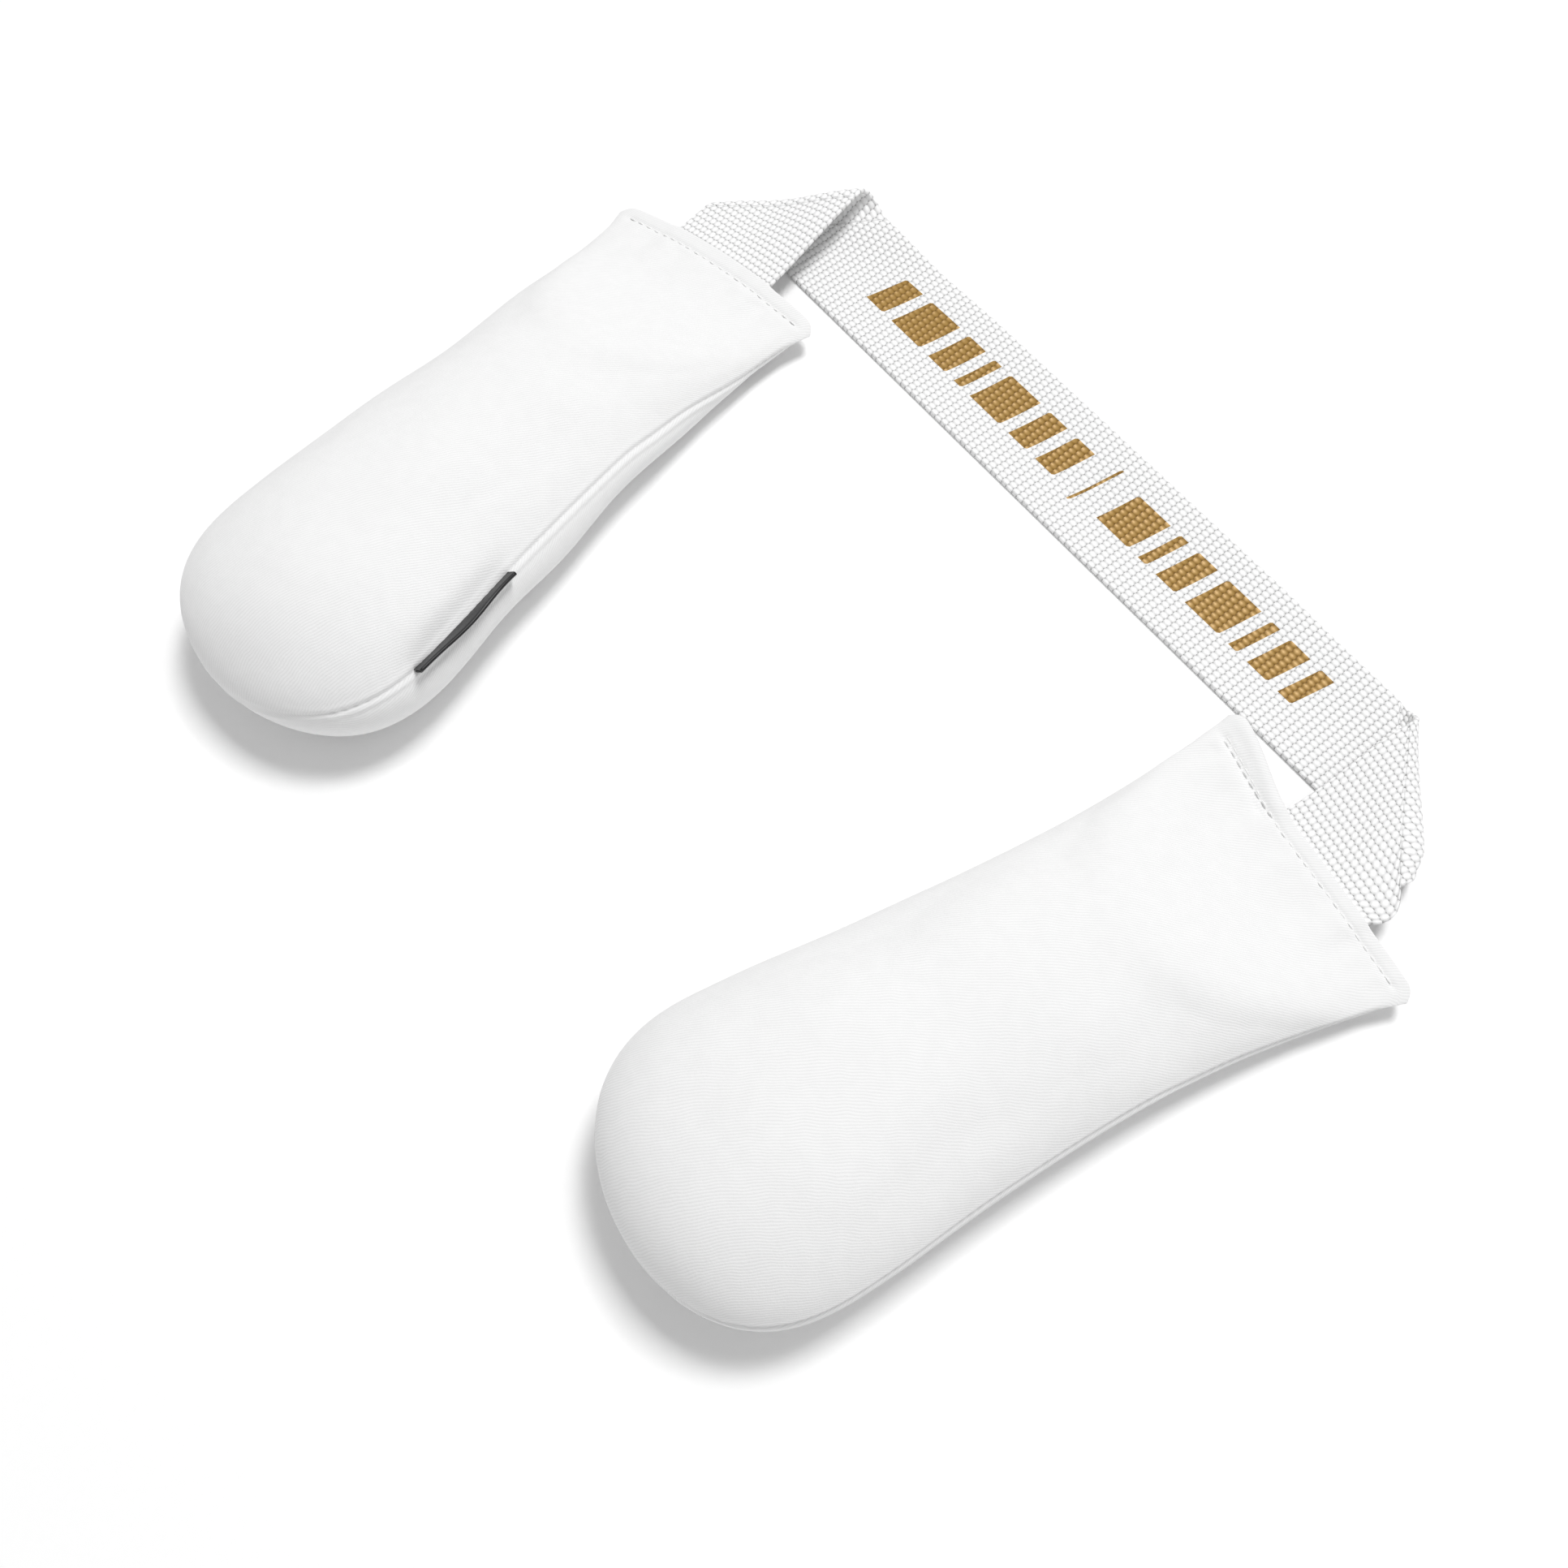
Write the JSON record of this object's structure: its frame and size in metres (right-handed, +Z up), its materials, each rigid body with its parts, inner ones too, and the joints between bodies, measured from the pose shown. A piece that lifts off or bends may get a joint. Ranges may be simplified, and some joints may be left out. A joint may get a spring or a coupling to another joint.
{
  "type": "boxing glove deodoriser pair",
  "caption": "Pair of filled white fabric pouches joined by a folded webbing strap, pushed into boxing gloves to dry and freshen them.",
  "frame": {"origin": "under the middle of the object's box, on the table that it lies on", "axes": "+X along the strap's run, from the pouch with the label to the other; the pouches point to -Y; +Z up"},
  "size_m": [0.3644, 0.2776, 0.0459],
  "materials": {
    "pouch_knit": "fine brushed white knit",
    "strap_webbing": "coarse woven white polyester webbing",
    "sewing_thread": "white polyester thread",
    "sachet_nonwoven": "off-white nonwoven",
    "wood_chip_filling": "loose cedar chips",
    "label_satin": "black woven satin ribbon",
    "strap_print": "dull gold screen print on the webbing"
  },
  "bodies": {
    "strap": {"strap_run": "strap_webbing", "left_strap_bight": "strap_webbing", "right_strap_bight": "strap_webbing"},
    "left_turn": {"left_strap_turn": "strap_webbing"},
    "right_turn": {"right_strap_turn": "strap_webbing"},
    "left_pouch": {"left_top_panel": "pouch_knit", "left_bottom_panel": "pouch_knit", "left_side_seam_thread": "sewing_thread", "left_hem_top_thread": "sewing_thread", "left_hem_bobbin_thread": "sewing_thread", "left_inner_sachet_top": "sachet_nonwoven", "left_inner_sachet_bottom": "sachet_nonwoven", "left_filling": "wood_chip_filling", "left_strap_tail": "strap_webbing", "left_side_label": "label_satin"},
    "right_pouch": {"right_top_panel": "pouch_knit", "right_bottom_panel": "pouch_knit", "right_side_seam_thread": "sewing_thread", "right_hem_top_thread": "sewing_thread", "right_hem_bobbin_thread": "sewing_thread", "right_inner_sachet_top": "sachet_nonwoven", "right_inner_sachet_bottom": "sachet_nonwoven", "right_filling": "wood_chip_filling", "right_strap_tail": "strap_webbing"}
  },
  "joints": [
    {"name": "left_fold_open", "type": "hinge", "parent": "strap", "child": "left_turn", "pos_m": [-0.14053, 0.11884, 0.0053], "axis": [-0.6293, -0.7771, 0], "range_deg": [0, 180]},
    {"name": "right_fold_open", "type": "hinge", "parent": "strap", "child": "right_turn", "pos_m": [0.1323, 0.11884, 0.0053], "axis": [-0.6461, 0.7632, 0], "range_deg": [0, 180]},
    {"name": "left_hem_bend", "type": "hinge", "parent": "left_turn", "child": "left_pouch", "pos_m": [-0.14175, 0.08178, 0.008], "axis": [-0.9781, -0.2079, 0], "range_deg": [-90, 90]},
    {"name": "right_hem_bend", "type": "hinge", "parent": "right_turn", "child": "right_pouch", "pos_m": [0.13537, 0.0818, 0.008], "axis": [-0.9863, 0.165, 0], "range_deg": [-90, 90]}
  ]
}
